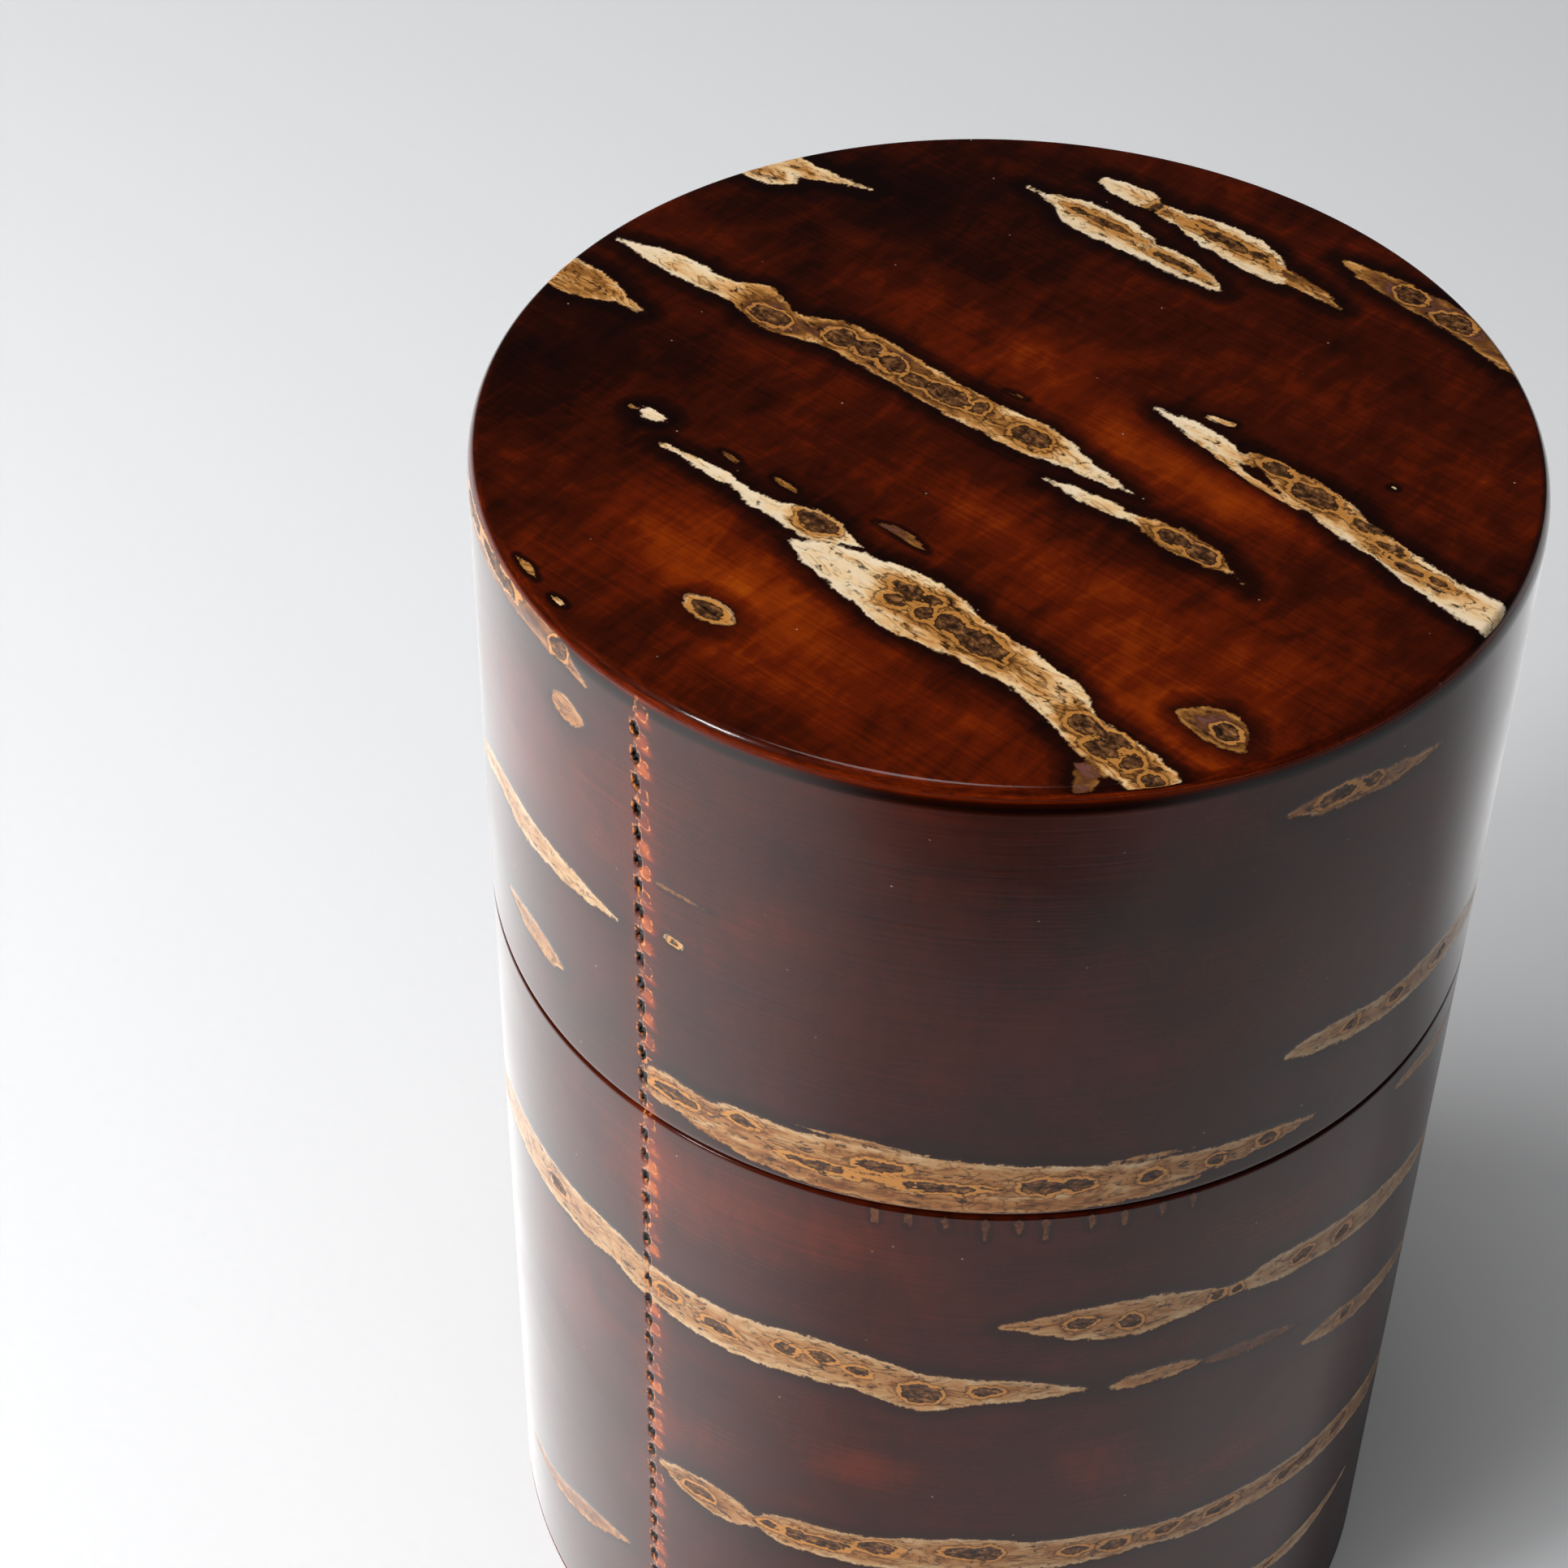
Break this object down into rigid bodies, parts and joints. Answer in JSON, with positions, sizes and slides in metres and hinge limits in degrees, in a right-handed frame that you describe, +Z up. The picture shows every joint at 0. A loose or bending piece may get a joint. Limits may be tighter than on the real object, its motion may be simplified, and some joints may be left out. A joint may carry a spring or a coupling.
{
  "type": "tea caddy",
  "caption": "Round cherry-bark tea caddy: a deep lid slides over the neck of a sleeve in the body, and an inner lid with a knob plugs the mouth.",
  "frame": {"origin": "middle of the base, on the table", "axes": "+Z up along the caddy's axis, -Y towards the seam of the bark"},
  "size_m": [0.08, 0.08, 0.12],
  "materials": {
    "polished_bark": "polished to a gloss",
    "thin_bark": "scraped and waxed, satin",
    "wound_veneer": "bare, with glue lines",
    "board_wood": "planed, bare",
    "knob_wood": "turned and polished"
  },
  "bodies": {
    "body": {"base_bark": "polished_bark", "base_board": "board_wood", "body_bark_wrap": "polished_bark", "body_core_tube": "wound_veneer", "body_lining": "thin_bark", "sleeve_bark_wrap": "thin_bark", "sleeve_core_tube": "wound_veneer", "sleeve_lining": "thin_bark", "floor_bark": "thin_bark"},
    "inner_lid": {"inner_lid_board": "board_wood", "inner_lid_edge_bark": "thin_bark", "inner_lid_top_bark": "thin_bark", "inner_lid_plug": "board_wood", "inner_lid_plug_bark": "thin_bark", "inner_lid_under_bark": "thin_bark", "inner_lid_knob": "knob_wood", "knob_cap_bark": "thin_bark", "knob_peg": "board_wood"},
    "lid": {"lid_top_bark": "polished_bark", "lid_bark_wrap": "polished_bark", "lid_core_tube": "wound_veneer", "lid_top_board": "board_wood", "lid_lining": "thin_bark", "lid_ceiling_bark": "thin_bark"}
  },
  "joints": [
    {"name": "inner_lid_lift", "type": "slide", "parent": "body", "child": "inner_lid", "axis": [0, 0, 1], "range_m": [0, 0.04]},
    {"name": "lid_lift", "type": "slide", "parent": "inner_lid", "child": "lid", "axis": [0, 0, 1], "range_m": [0, 0.06]}
  ]
}
